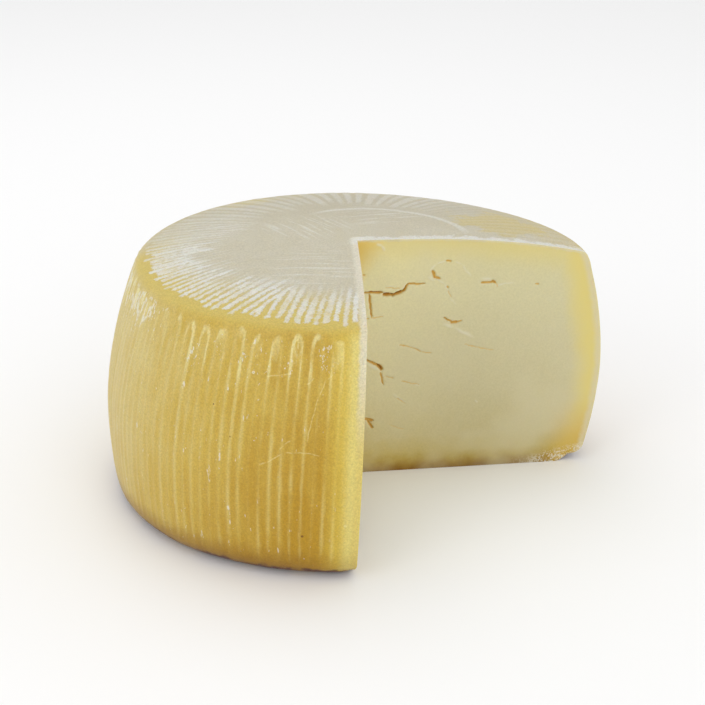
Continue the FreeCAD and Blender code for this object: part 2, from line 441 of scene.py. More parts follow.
right_run = Vector((math.cos(RIGHT_TURN), math.sin(RIGHT_TURN), 0))
right_open = Vector((math.sin(RIGHT_TURN), -math.cos(RIGHT_TURN), 0))
right_normal = right_open * math.cos(RIGHT_LEAN) - UP * math.sin(RIGHT_LEAN)
left_run = Vector((math.cos(LEFT_TURN), math.sin(LEFT_TURN), 0))
left_open = Vector((-math.sin(LEFT_TURN), math.cos(LEFT_TURN), 0))
left_normal = left_open * math.cos(LEFT_LEAN) - UP * math.sin(LEFT_LEAN)


def past_right(place):
    """Distance of a place into the missing wedge from the right cut."""
    return (place - KNIFE_TIP).dot(right_normal)


def past_left(place):
    return (place - KNIFE_TIP).dot(left_normal)


def from_cut(place, normal, run):
    """Distance of a place from a cut face, which ends at the tip."""
    away = place - KNIFE_TIP
    return math.hypot(away.dot(normal), min(away.dot(run), 0))


def knife_stroke(wheel, normal, past_other):
    faces = [face for face in wheel.faces if past_other(face.calc_center_median()) > -3 * MM]
    touched = {part for face in faces for part in (*face.verts, *face.edges)}
    bmesh.ops.bisect_plane(
        wheel, geom=faces + list(touched), dist=0.02 * MM, plane_co=KNIFE_TIP, plane_no=normal,
    )


# %% Cut and take the wedge away
knife_stroke(wheel, right_normal, past_left)
knife_stroke(wheel, left_normal, past_right)
wedge = []
for face in wheel.faces:
    middle = face.calc_center_median()
    if past_right(middle) > 0 and past_left(middle) > 0:
        wedge.append(face)
bmesh.ops.delete(wheel, geom=wedge, context="FACES")
print("wedge of", len(wedge), "faces removed")

# %% [markdown]
# The opening is a bent loop of edges. One new edge down the tip splits it in two flat loops, and each
# becomes a patch of paste. Squares of a millimetre and a half are needed, because a flat face can't
# carry cracks or the knife's soft waves.

# %% Close the two cut faces
CUT_SPACING = 1.5 * MM
ON_PLANE = 0.05 * MM


def on_both(vert):
    return abs(past_right(vert.co)) < ON_PLANE and abs(past_left(vert.co)) < ON_PLANE


opening = [edge for edge in wheel.edges if edge.is_boundary]
tips = sorted({vert for edge in opening for vert in edge.verts if on_both(vert)}, key=lambda vert: vert.co.z)
tip_line = [wheel.edges.new((tips[0], tips[-1]))]
sides = []
for past, run in ((past_right, right_run), (past_left, left_run)):
    rim = [edge for edge in opening if all(abs(past(vert.co)) < ON_PLANE for vert in edge.verts)]
    rulings = [ruling(rim, way, CUT_SPACING) for way in (run, UP)]
    tip_line = mark_rim(tip_line, rulings)
    sides.append((mark_rim(rim, rulings), rulings))
for rim, rulings in sides:
    add_patch(wheel, rim + tip_line, rulings, PASTE)
bmesh.ops.delete(wheel, geom=[edge for edge in tip_line if edge.is_wire], context="EDGES")
join_seams(wheel)
print("tips", len(tips), "paste faces", sum(face.material_index == PASTE for face in wheel.faces))
print("open edges", sum(not edge.is_manifold for edge in wheel.edges))

# %% [markdown]
# ## Cracks in the paste
# Curds that never knitted leave gaps, and the knife opens them in the cut. Each gap is a short stroke
# across the face with a width and a depth. The squares near a gap are divided again, fine enough for
# its walls, and the points inside it are pushed into the cheese. Hairlines are the same, but shallow,
# and pale lips are low ridges where the knife smeared the paste over a seam between two curds.

# %% The gaps, hairlines and lips
# along the cut from its tip on the table, height, half length, half width, depth, rise in degrees
GAPS = [
    (9.9, 78.9, 3.9, 0.40, 2.4, -1), (16.0, 77.7, 2.5, 0.80, 4.2, -2), (20.0, 78.3, 2.3, 0.62, 3.2, 13),
    (22.8, 80.2, 2.0, 0.42, 2.2, 59), (27.0, 81.8, 3.7, 0.34, 1.4, 0), (8.9, 73.4, 5.0, 0.46, 1.8, -81),
    (33.8, 85.6, 1.8, 0.62, 1.8, -72), (35.2, 84.1, 1.4, 0.45, 1.4, -24), (39.5, 90.7, 1.1, 0.42, 1.0, -11),
    (55.6, 81.4, 2.7, 0.42, 1.5, 0), (58.1, 81.4, 0.9, 0.50, 1.8, -38), (40.4, 65.9, 2.2, 0.36, 1.3, -31),
    (42.9, 64.8, 1.5, 0.62, 1.8, 5), (44.9, 65.1, 1.1, 0.34, 1.0, 17), (10.2, 48.9, 3.2, 0.50, 1.9, -26),
    (13.3, 46.7, 1.6, 0.80, 2.6, -53), (14.1, 41.6, 3.0, 0.36, 1.2, -76), (9.0, 23.8, 2.0, 0.70, 1.8, -12),
    (9.6, 21.7, 2.4, 0.62, 1.8, -60), (39.4, 79.7, 0.6, 0.40, 0.9, -46), (76.0, 79.9, 0.8, 0.34, 0.8, -10),
]
HAIRLINES = [
    (17.5, 80.4, 3.0, 0.30, 0.35, -4), (7.8, 68.0, 0.5, 0.35, 0.8, 6), (11.2, 68.4, 2.9, 0.28, 0.35, 6),
    (5.9, 86.3, 0.5, 0.45, 0.7, 0), (40.4, 76.9, 1.7, 0.28, 0.4, -63), (23.1, 55.5, 2.5, 0.30, 0.5, -12),
    (27.6, 54.0, 2.5, 0.32, 0.6, -24), (32.1, 52.4, 2.4, 0.30, 0.45, -12), (53.6, 53.4, 6.5, 0.26, 0.3, -15),
    (17.2, 42.1, 1.7, 0.28, 0.4, -24), (25.6, 39.2, 3.8, 0.28, 0.4, -15), (22.2, 31.5, 2.4, 0.24, 0.3, -38),
    (59.3, 80.0, 1.2, 0.26, 0.4, -55), (20.9, 19.6, 3.6, 0.24, 0.2, -25),
]
# along, height, half length, half width, rise in degrees
LIPS = [
    (32.8, 83.7, 1.8, 0.70, -37), (33.1, 88.3, 1.9, 0.55, 49), (36.5, 90.3, 2.5, 0.45, 15),
    (43.6, 89.9, 1.9, 0.35, -26), (45.9, 87.7, 1.6, 0.45, -63), (47.5, 85.3, 1.9, 0.50, -46),
    (36.6, 82.5, 2.0, 0.50, -37), (38.8, 79.6, 2.1, 0.45, -66), (41.8, 73.8, 2.1, 0.35, -55),
    (40.4, 63.5, 2.6, 1.00, -20), (46.8, 60.3, 5.4, 0.90, -30), (62.5, 80.2, 4.4, 0.45, 7),
    (11.8, 98.6, 1.5, 0.90, -19), (13.3, 97.2, 1.7, 0.80, -66), (10.4, 47.0, 2.8, 0.90, -27),
    (21.4, 32.6, 3.8, 0.50, -38), (28.7, 38.0, 1.2, 0.50, -12), (53.5, 29.5, 1.0, 0.50, -41),
    (55.0, 82.9, 2.4, 0.50, -8), (16.5, 80.9, 1.8, 0.70, 4),
]


def as_stroke(along, height, half_length, half_width, depth, rise):
    return Vector((along, height)) * MM, half_length * MM, half_width * MM, depth * MM, math.radians(rise)


strokes = [as_stroke(*row) for row in GAPS + HAIRLINES]
lips = [as_stroke(*row[:4], -0.16, row[4]) for row in LIPS]


def from_stroke(along, height, stroke):
    """(share along the stroke, distance from its ragged middle line)."""
    centre, half_length, half_width, depth, rise = stroke
    east = along - centre.x
    north = height - centre.y
    reach = (east * math.cos(rise) + north * math.sin(rise)) / half_length
    off = north * math.cos(rise) - east * math.sin(rise)
    ragged = 0.30 * MM * ripple(along / (1.5 * MM), height / (1.5 * MM), 4.4)
    ragged += 0.30 * MM * ripple(along / (4 * MM), height / (4 * MM), 9.4)
    return reach, abs(off + ragged)


# %% Divide the squares near a gap
def on_right_cut(place):
    """(distance along the right cut, height)."""
    return (place - KNIFE_TIP).dot(right_run), place.z


def near_a_gap(face):
    along, height = on_right_cut(face.calc_center_median())
    for stroke in strokes + lips:
        reach, off = from_stroke(along, height, stroke)
        if abs(reach) < 1 + 1.2 * MM / stroke[1] and off < stroke[2] + 0.9 * MM:
            return True
    return False


right_paste = [face for face in wheel.faces if face.material_index == PASTE
               and abs(past_right(face.calc_center_median())) < ON_PLANE]
for cuts in (1, 1):
    chosen = [face for face in right_paste if near_a_gap(face)]
    edges = list({edge for face in chosen for edge in face.edges if not edge.is_boundary
                  and all(near.material_index == PASTE for near in edge.link_faces)})
    bmesh.ops.subdivide_edges(wheel, edges=edges, cuts=cuts, use_grid_fill=True)
    right_paste = [face for face in wheel.faces if face.material_index == PASTE
                   and abs(past_right(face.calc_center_median())) < ON_PLANE]
print("faces after dividing", len(wheel.faces), "paste on the right", len(right_paste))

# %% [markdown]
# The knife also leaves its own marks: slow waves where it dragged, and small lips beside a gap.
# Points on the rim of a cut stay where they are, so that rind and paste keep one closed skin.

# %% Press the gaps and waves into the cut faces
def gap_depth(along, height):
    """(how far a point is pushed in, how dark it is, partly a painted shade, how pale it is), the last two
    from 0 to 1.
    """
    deepest, darkest_with_shade, palest = 0, 0, 0
    for stroke in strokes:
        reach, off = from_stroke(along, height, stroke)
        if abs(reach) < 1:
            width = stroke[2] * math.sqrt(1 - abs(reach) ** 3)
            open_share = 1 - fade(off, 0.35 * width, width + 0.15 * MM)
            deepest = max(deepest, 0.7 * stroke[3] * open_share)
            darkest_with_shade = max(darkest_with_shade, open_share * min(0.25 + stroke[3] / (3.4 * MM), 1))
    for stroke in lips:
        reach, off = from_stroke(along, height, stroke)
        if abs(reach) < 1:
            palest = max(palest, (1 - fade(off, 0, stroke[2])) * (1 - reach * reach))
    if deepest == 0:
        deepest = -0.16 * MM * palest
    return deepest, darkest_with_shade, palest


gap_layer = wheel.verts.layers.float.new("gap")
lip_layer = wheel.verts.layers.float.new("lip")
for vert in wheel.verts:
    if vert.link_faces and all(face.material_index == PASTE for face in vert.link_faces):
        if abs(past_right(vert.co)) < ON_PLANE and past_left(vert.co) > 0.3 * MM:
            along, height = on_right_cut(vert.co)
            depth, vert[gap_layer], vert[lip_layer] = gap_depth(along, height)
            wave = 0.16 * MM * ripple(along / (16 * MM), height / (9 * MM), 1.5)
            wave += 0.05 * MM * ripple(along / (5 * MM), height / (2.2 * MM), 7.5)
            crumbly = ripple(along / (3 * MM), height / (2.5 * MM), 3.5)
            wave += 0.35 * MM * crumbly * fade(height, 6 * MM, 1 * MM)
            settle = fade(past_left(vert.co), 0, 4 * MM)
            vert.co -= right_normal * (depth + (0.18 * MM + wave) * settle)
        elif abs(past_left(vert.co)) < ON_PLANE and past_right(vert.co) > 0.3 * MM:
            along = (vert.co - KNIFE_TIP).dot(left_run)
            wave = 0.16 * MM * ripple(along / (14 * MM), vert.co.z / (9 * MM), 21.5)
            wave += 0.05 * MM * ripple(along / (5 * MM), vert.co.z / (2.2 * MM), 27.5)
            settle = fade(past_right(vert.co), 0, 4 * MM)
            vert.co -= left_normal * (0.18 * MM + wave) * settle

# %% [markdown]
# The edge that the knife leaves at the foot is thin, so the two lowest corners have crumbled round. A
# bevel would need clean edges there, so the points near a corner are drawn up and in instead: most at
# the corner itself, by as much as a round of that radius would, and less with the distance from it.

# %% Round off the lowest corners
CRUMBLED = 6.5 * MM
CORNER_SHIFT = CRUMBLED * (1 - math.sqrt(0.5))
for vert in wheel.verts:
    _, radius, height = on_the_wheel(vert.co)
    inward = max(FOOT_RADIUS - FOOT_TUCK / 2 - radius, 0)
    for normal, run in ((left_normal, left_run), (right_normal, right_run)):
        reach = math.hypot(from_cut(vert.co, normal, run), height, inward)
        share = max(1 - reach / CRUMBLED, 0) ** 1.75
        vert.co += (UP - normal) * (CORNER_SHIFT * share)

# %% [markdown]
# ## What each point tells the materials
# A material can't know where the basket's bars were, so each point carries a few numbers: how far up
# a ridge it is, which bar it belongs to, how deep under the rind it lies. The materials below turn
# them into colour, and fine noise makes the edges ragged where a number alone would be too clean.

# %% Store the numbers
NUMBERS = (
    "crest", "cream_and_highlight", "bar", "bar_white_and_highlight", "top_share", "side_depth", "top_depth", "left_edge", "right_edge",
)
layers = {name: wheel.verts.layers.float.new(name) for name in NUMBERS}

for vert in wheel.verts:
    angle, radius, height = on_the_wheel(vert.co)
    vert[layers["crest"]] = side_crest(angle, height)
    vert[layers["cream_and_highlight"]] = rim_cream_and_highlight(angle, height)
    vert[layers["bar"]], vert[layers["bar_white_and_highlight"]] = top_bar(angle, radius)
    vert[layers["top_share"]] = fade(height, SHOULDER_HEIGHT - 3 * MM, SHOULDER_HEIGHT + 1.5 * MM)
    vert[layers["side_depth"]] = max(side_radius(min(height, SHOULDER_HEIGHT)) - radius, 0)
    vert[layers["top_depth"]] = max(dome_height(min(radius, SHOULDER_RADIUS)) - height, 0)
    vert[layers["left_edge"]] = from_cut(vert.co, left_normal, left_run)
    vert[layers["right_edge"]] = from_cut(vert.co, right_normal, right_run)

for vert in wheel.verts:
    vert.co = [min(max(value, low), high) for value, low, high in zip(vert.co, cad_low, cad_high)]

# %% Finish the mesh
for face in wheel.faces:
    face.smooth = True
for edge in wheel.edges:
    kinds = {face.material_index for face in edge.link_faces}
    if len(kinds) == 2:
        edge.smooth = False
for edge in wheel.edges:
    if all(on_both(vert) for vert in edge.verts):
        edge.smooth = False

mesh = bpy.data.meshes.new("caciotta")
wheel.to_mesh(mesh)
wheel.free()
caciotta = bpy.data.objects.new("caciotta", mesh)
bpy.context.scene.collection.objects.link(caciotta)
mesh.calc_loop_triangles()
print("caciotta has", len(mesh.loop_triangles), "triangles")

# %% [markdown]
# ## Building materials from nodes
# Small helpers keep the node code short. `node` makes one node and fills or links its inputs by name,
# `maths` does one sum, `times` multiplies, and `span` is the soft step again, now inside a material.
# `speckle` is noise, `raggedness` is the same noise round zero, and `blend` and `ramp` mix colours.

# %% Node helpers
def tone(red, green, blue):
    """A colour named in everyday screen values, as the linear colour that a material needs."""
    shares = [value / 255 for value in (red, green, blue)]
    linear = [share / 12.92 if share <= 0.04045 else ((share + 0.055) / 1.055) ** 2.4 for share in shares]
    return (*linear, 1)


def fill(tree, made, inputs):
    for name, value in inputs.items():
        if isinstance(value, bpy.types.NodeSocket):
            tree.links.new(value, made.inputs[name])
        else:
            made.inputs[name].default_value = value
    return made


def node(tree, kind, inputs=None, **settings):
    made = tree.nodes.new(kind)
    for name, value in settings.items():
        setattr(made, name, value)
    return fill(tree, made, inputs or {})


def maths(tree, operation, *values, clamp=False):
    made = node(tree, "ShaderNodeMath", operation=operation, use_clamp=clamp)
    return fill(tree, made, dict(enumerate(values))).outputs[0]


def span(tree, value, low, high, start=0.0, end=1.0):
    made = node(tree, "ShaderNodeMapRange", interpolation_type="SMOOTHSTEP")
    names = {"Value": value, "From Min": low, "From Max": high, "To Min": start, "To Max": end}
    return fill(tree, made, names).outputs[0]


def blend(tree, share, first, second):
    made = node(tree, "ShaderNodeMix", data_type="RGBA", clamp_factor=True)
    return fill(tree, made, {0: share, 6: first, 7: second}).outputs[2]


def ramp(tree, value, stops):
    """Colours along a value: stops are (position from 0 to 1, colour)."""
    made = node(tree, "ShaderNodeValToRGB", {"Fac": value})
    points = made.color_ramp.elements
    for position, colour in stops[1:-1]:
        points.new(position).color = colour
    points[0].position, points[0].color = stops[0]
    points[-1].position, points[-1].color = stops[-1]
    return made.outputs["Color"]


def number(tree, name):
    return node(tree, "ShaderNodeAttribute", attribute_name=name).outputs["Fac"]


def speckle(tree, where, scale, stretch=(1, 1, 1), detail=3.0, roughness=0.55):
    """Noise from 0 to 1, with its grains stretched along an axis."""
    placed = node(tree, "ShaderNodeMapping", {"Vector": where, "Scale": stretch}).outputs[0]
    inputs = {"Vector": placed, "Scale": scale, "Detail": detail, "Roughness": roughness}
    return node(tree, "ShaderNodeTexNoise", inputs).outputs[0]


def raggedness(tree, where, scale, **settings):
    """The same noise round zero, from -0.5 to 0.5, to add to a distance."""
    return maths(tree, "SUBTRACT", speckle(tree, where, scale, **settings), 0.5)


def axes_of(tree, where):
    return node(tree, "ShaderNodeSeparateXYZ", {"Vector": where}).outputs


def vector(tree, operation, *values):
    made = node(tree, "ShaderNodeVectorMath", operation=operation)
    fill(tree, made, dict(enumerate(values)))
    return made.outputs["Value" if operation in {"LENGTH", "DISTANCE", "DOT_PRODUCT"} else "Vector"]


def shade(tree, colour, brightness):
    """The colour made brighter (above 1) or darker (below 1)."""
    return node(tree, "ShaderNodeHueSaturation", {"Color": colour, "Value": brightness}).outputs[0]


def times(tree, *values):
    """All the values multiplied together."""
    product = values[0]
    for value in values[1:]:
        product = maths(tree, "MULTIPLY", product, value)
    return product


# %% [markdown]
# ### Grain, shared by rind and paste
# Both the rind and the paste have a fine waxy grain. It is one node group, placed in each material
# with its own scale, and it puts out a height for the bump and a mask for the colour.

# %% The grain group
def grain_group():
    tree = bpy.data.node_groups.new("waxy_grain", "ShaderNodeTree")
    sockets = tree.interface
    sockets.new_socket("Where", in_out="INPUT", socket_type="NodeSocketVector")
    sockets.new_socket("Fine scale", in_out="INPUT", socket_type="NodeSocketFloat")
    sockets.new_socket("Broad scale", in_out="INPUT", socket_type="NodeSocketFloat")
    sockets.new_socket("Height", in_out="OUTPUT", socket_type="NodeSocketFloat")
    sockets.new_socket("Mottle", in_out="OUTPUT", socket_type="NodeSocketFloat")
    inside = node(tree, "NodeGroupInput").outputs
    fine = speckle(tree, inside["Where"], inside["Fine scale"], detail=4.0)
    broad = speckle(tree, inside["Where"], inside["Broad scale"], detail=5.0, roughness=0.6)
    height = maths(tree, "MULTIPLY_ADD", broad, 0.6, fine)
    node(tree, "NodeGroupOutput", {"Height": height, "Mottle": span(tree, broad, 0.32, 0.68)})
    return tree


waxy_grain = grain_group()


def grain(tree, where, fine, broad):
    made = node(tree, "ShaderNodeGroup", node_tree=waxy_grain)
    return fill(tree, made, {"Where": where, "Fine scale": fine, "Broad scale": broad}).outputs


print("groups", [tree.name for tree in bpy.data.node_groups])


# %% Start a material
def new_material(name):
    material = bpy.data.materials.new(name)
    material.use_nodes = True
    tree = material.node_tree
    tree.nodes.clear()
    where = node(tree, "ShaderNodeTexCoord").outputs["Object"]
    return material, tree, where


def finish_material(tree, sockets):
    surface = node(tree, "ShaderNodeBsdfPrincipled", sockets)
    node(tree, "ShaderNodeOutputMaterial", {"Surface": surface.outputs[0]})


# %% [markdown]
# ### The rind
# The rind is thin, waxy and straw yellow: pale on the left and under the rim, deeper towards the front
# and the foot, partly a painted sheen on the left and a painted shade lower down. The crests are paler
# than the grooves, because they dried first and because a painted highlight lies on them. White bloom,
# with painted glints among it, sticks to the crests and lies in specks below the rim. The top is a pale
# beige, partly greyed and partly a painted sheen, with white bars where the basket pressed, brightened by
# a painted highlight, and a bare straw-coloured band round the front rim. The side turns brown towards
# the foot, with dark maroon patches at the very bottom.
# `on_skin` finds a place on the side from its direction and its height, for the marks that sit there.

# %% Colours of the rind
STRAW_PALE = tone(205, 187, 119)
STRAW = tone(194, 165, 71)
STRAW_DEEP = tone(176, 137, 28)
CREST_PALE_AND_HIGHLIGHT = tone(210, 193, 122)
RIM_CREAM_AND_HIGHLIGHT = tone(228, 219, 160)
BLOOM_AND_GLINT = tone(224, 222, 208)
BAR_WHITE_AND_HIGHLIGHT = tone(213, 213, 206)
BEIGE_AND_SHEEN = tone(189, 182, 159)
BEIGE_PALE_AND_SHEEN = tone(196, 191, 175)
BEIGE_BACK = tone(176, 168, 145)
STAIN = tone(190, 175, 122)
RIM_TAN = tone(198, 177, 92)
BROWN = tone(132, 92, 28)
MAROON = tone(88, 48, 34)
EDGE_GLOW_GOLD = tone(213, 190, 82)
EDGE_GLOW_STRAW = tone(214, 199, 118)
SEAM_LOW = tone(208, 188, 104)
SEAM_HIGH = tone(212, 206, 186)


# %% Side of the rind
def side_colour(tree, where, mottle):
    x, _, z = axes_of(tree, where)
    # Painted sheen and shade: the tone deepens to the right and downwards, so the left is painted paler and
    # the lower side darker, over the rind's own streaks and patches.
    eastward = maths(tree, "MULTIPLY_ADD", x, 13.7, 1.19, clamp=True)
    lower_and_shaded = maths(tree, "MULTIPLY_ADD", z, -16.7, 1.33, clamp=True)
    deep = maths(tree, "MULTIPLY_ADD", eastward, 0.64, times(tree, lower_and_shaded, 0.36))
    streak = speckle(tree, where, 300, stretch=(1, 1, 0.08), detail=3.0)
    patch = speckle(tree, where, 30, stretch=(1, 1, 0.5), detail=3.0)
    deep = maths(tree, "MULTIPLY_ADD", maths(tree, "SUBTRACT", streak, 0.5), 0.55, deep)
    deep = maths(tree, "MULTIPLY_ADD", maths(tree, "SUBTRACT", patch, 0.5), 0.5, deep)
    deep = maths(tree, "MULTIPLY_ADD", maths(tree, "SUBTRACT", mottle, 0.5), 0.10, deep)
    # Grooves a touch deeper and crests paler: partly the ridges' own tone, partly a painted highlight on the
    # ridge tops, stronger towards the right.
    groove = maths(tree, "SUBTRACT", 0.45, number(tree, "crest"))
    deep = maths(tree, "MULTIPLY_ADD", groove, 0.16, deep)
    base = ramp(tree, deep, ((0.0, STRAW_PALE), (0.5, STRAW), (1.0, STRAW_DEEP)))
    thread = speckle(tree, where, 900, stretch=(1, 1, 0.10), detail=4.0, roughness=0.65)
    kept = span(tree, speckle(tree, where, 150, stretch=(1, 1, 0.22), detail=4.0), 0.37, 0.64, 0.05, 1.0)
    ridge = number(tree, "crest")
    crest = span(tree, maths(tree, "MULTIPLY_ADD", thread, 1.1, ridge), 0.62, 1.50)
    crest = times(tree, crest, kept, maths(tree, "MULTIPLY_ADD", eastward, 0.18, 0.40))
    base = blend(tree, crest, base, CREST_PALE_AND_HIGHLIGHT)
    # Arches under the rim: cream inside, and a painted highlight along the arch tops and over the cream.
    under_rim = times(tree, span(tree, z, 0.068, 0.082), span(tree, z, 0.0925, 0.0905))
    arch = times(tree, span(tree, maths(tree, "MULTIPLY_ADD", thread, 0.8, ridge), 0.70, 1.10), under_rim)
    cream_and_highlight = maths(tree, "MULTIPLY_ADD", thread, 1.5, number(tree, "cream_and_highlight"))
    cream_and_highlight = times(tree, span(tree, cream_and_highlight, 1.0, 1.6), span(tree, number(tree, "cream_and_highlight"), 0.02, 0.3))
    cream_and_highlight = maths(tree, "MAXIMUM", times(tree, arch, 0.58), times(tree, cream_and_highlight, 0.62))
    return blend(tree, times(tree, cream_and_highlight, kept), base, RIM_CREAM_AND_HIGHLIGHT), streak


def on_skin(degrees, height):
    angle = math.radians(degrees)
    radius = side_radius(height) * outline_factor(angle)
    return Vector((radius * math.cos(angle) + slump(height), radius * math.sin(angle), height))


# (degrees round the wheel, height, radius) of the thicker patches of bloom
BLOOM_CLUSTERS = [(263.4, 84.5, 10), (255.5, 80.5, 6), (233.0, 78.5, 8), (239.5, 83.0, 6)]


def side_bloom_and_glints(tree, where):
    """White specks, some of them painted glints: broken dashes on the left and under the rim, a few along the
    crests elsewhere.
    """
    dash = speckle(tree, where, 640, stretch=(1, 1, 0.22), detail=3.0, roughness=0.65)
    fleck = speckle(tree, where, 720, stretch=(1, 1, 0.55), detail=3.0, roughness=0.68)
    field = speckle(tree, where, 60, detail=2.0)
    x, _, z = axes_of(tree, where)
    under_rim = times(tree, span(tree, z, 0.074, 0.084), span(tree, z, 0.0915, 0.0895))
    left = times(tree, span(tree, x, -0.060, -0.076), under_rim)
    crest = number(tree, "crest")
    held = maths(tree, "MULTIPLY_ADD", left, 0.17, times(tree, crest, 0.075))
    held = maths(tree, "MULTIPLY_ADD", maths(tree, "SUBTRACT", field, 0.5), 0.22, held)
    dashes = span(tree, maths(tree, "ADD", dash, held), 0.705, 0.755)
    upper = times(tree, span(tree, z, 0.066, 0.080), span(tree, z, 0.0905, 0.0875))
    upper = times(tree, upper, span(tree, field, 0.46, 0.60), 0.085)
    for degrees, height, radius in BLOOM_CLUSTERS:
        away = vector(tree, "DISTANCE", where, tuple(on_skin(degrees, height * MM)))
        upper = maths(tree, "MAXIMUM", upper, span(tree, away, radius * MM, 0.2 * radius * MM, 0.0, 0.13))
    flecks = span(tree, maths(tree, "ADD", upper, fleck), 0.70, 0.74)
    return maths(tree, "MAXIMUM", dashes, flecks)


# %% [markdown]
# A few marks sit in one place only: fine curved scratches near the cut, a pit with a pale ring and a painted
# shade in its middle, and a brown speck by the foot. A scratch is drawn in the plane that faces the viewer of
# the front: its distance from a bowed line, faded out at both ends.

# %% Single marks
# (degrees round the wheel, height in mm) of both ends, and how far the line bows, in mm
SCRATCHES = [
    ((263.7, 77), (260.7, 54), -0.9), ((255.4, 51.5), (257.6, 55.5), 0.3),
    ((250.8, 76.4), (256.8, 78.4), -0.3), ((251.2, 45.6), (256.0, 50.4), -0.4),
    ((256.4, 50.8), (263.6, 50.2), 0.9), ((261.0, 77.0), (259.6, 74.6), 0.3),
    ((221.9, 24.6), (220.6, 27.6), 0.4), ((264.9, 78.6), (263.9, 76.6), 0.2),
]
# degrees, height in mm, radius in mm, colour
# The first pit is a pale ring, and its dark centre is a painted shade inside the hole.
PITS = [
    (248.0, 77.0, 0.75, tone(222, 212, 176)), (248.0, 77.0, 0.35, tone(66, 54, 36)),
    (260.6, 18.8, 0.55, tone(112, 72, 26)), (240.1, 63.9, 0.35, tone(110, 84, 40)),
    (244.7, 53.9, 0.40, tone(146, 110, 40)), (217.5, 38.0, 0.35, tone(120, 92, 50)),
    (269.3, 23.6, 0.80, tone(226, 224, 212)), (268.6, 78.0, 0.55, tone(226, 224, 212)),
]


def scratch_mask(tree, where, waver, start, end, bow):
    first = on_skin(start[0], start[1] * MM)
    reach = on_skin(end[0], end[1] * MM) - first
    reach.y = 0
    length = reach.length
    way = reach / length
    local = vector(tree, "SUBTRACT", where, tuple(first))
    along = times(tree, vector(tree, "DOT_PRODUCT", local, tuple(way)), 1 / length)
    off = vector(tree, "DOT_PRODUCT", local, (-way.z, 0, way.x))
    arch = times(tree, along, maths(tree, "SUBTRACT", 1, along), 4 * bow * MM)
    off = maths(tree, "ABSOLUTE", maths(tree, "ADD", maths(tree, "SUBTRACT", off, arch), waver))
    ends = times(tree, span(tree, along, -0.02, 0.1), span(tree, along, 1.02, 0.85))
    return times(tree, span(tree, off, 0.30 * MM, 0.10 * MM), ends)


def single_marks(tree, where, colour, facing_front):
    waver = times(tree, raggedness(tree, where, 160, detail=3.0), 1.6 * MM)
    scratches = 0
    for start, end, bow in SCRATCHES:
        scratches = maths(tree, "ADD", scratches, scratch_mask(tree, where, waver, start, end, bow))
    broken = span(tree, speckle(tree, where, 700), 0.36, 0.5, 0.15, 0.6)
    colour = blend(tree, times(tree, scratches, broken, facing_front, 0.55), colour, RIM_CREAM_AND_HIGHLIGHT)
    for degrees, height, radius, pit_colour in PITS:
        place = tuple(on_skin(degrees, height * MM))
        away = maths(tree, "MULTIPLY_ADD", waver, 0.5, vector(tree, "DISTANCE", where, place))
        colour = blend(tree, span(tree, away, radius * MM, 0.6 * radius * MM, 0.0, 0.85), colour, pit_colour)
    return colour


print("scratches", len(SCRATCHES), "pits", len(PITS))


# %% [markdown]
# On the top the mat that covered the curd left patches of fine parallel lines, and the basket's inner
# hoop left a pale arc behind the middle. Both are only faint changes of tone.

# %% Top of the rind
HOOP_CENTRE = (0.0055, -0.002, 0)
HOOP_RADIUS = 38.8 * MM


def bar_and_highlight_mask(tree, where):
    rag = times(tree, raggedness(tree, where, 620, detail=5.0, roughness=0.75), 3.4 * MM)
    inside = maths(tree, "ADD", number(tree, "bar"), rag)
    uneven = span(tree, speckle(tree, where, 240, detail=4.0, roughness=0.7), 0.30, 0.55, 0.45, 1.0)
    return times(tree, span(tree, inside, -0.25 * MM, 0.30 * MM), number(tree, "bar_white_and_highlight"), uneven)


def mat_lines(tree, flat, centre, turn, spacing, reach):
    """A patch of fine parallel lines: its centre on the top, the turn of the lines, how far it reaches."""
    place = node(tree, "ShaderNodeMapping", {"Vector": flat}, vector_type="TEXTURE")
    fill(tree, place, {"Location": (*centre, 0), "Rotation": (0, 0, math.radians(turn))})
    local = place.outputs[0]
    lines = speckle(tree, local, 1 / spacing, stretch=(0.06, 1, 0), detail=2.0)
    broken = speckle(tree, flat, 260, detail=4.0, roughness=0.7)
    away = maths(tree, "MULTIPLY_ADD", broken, 0.012, vector(tree, "LENGTH", local))
    shown = times(tree, span(tree, lines, 0.50, 0.62), span(tree, away, reach, reach * 0.5))
    return times(tree, shown, span(tree, broken, 0.32, 0.55, 0.3, 1.0))


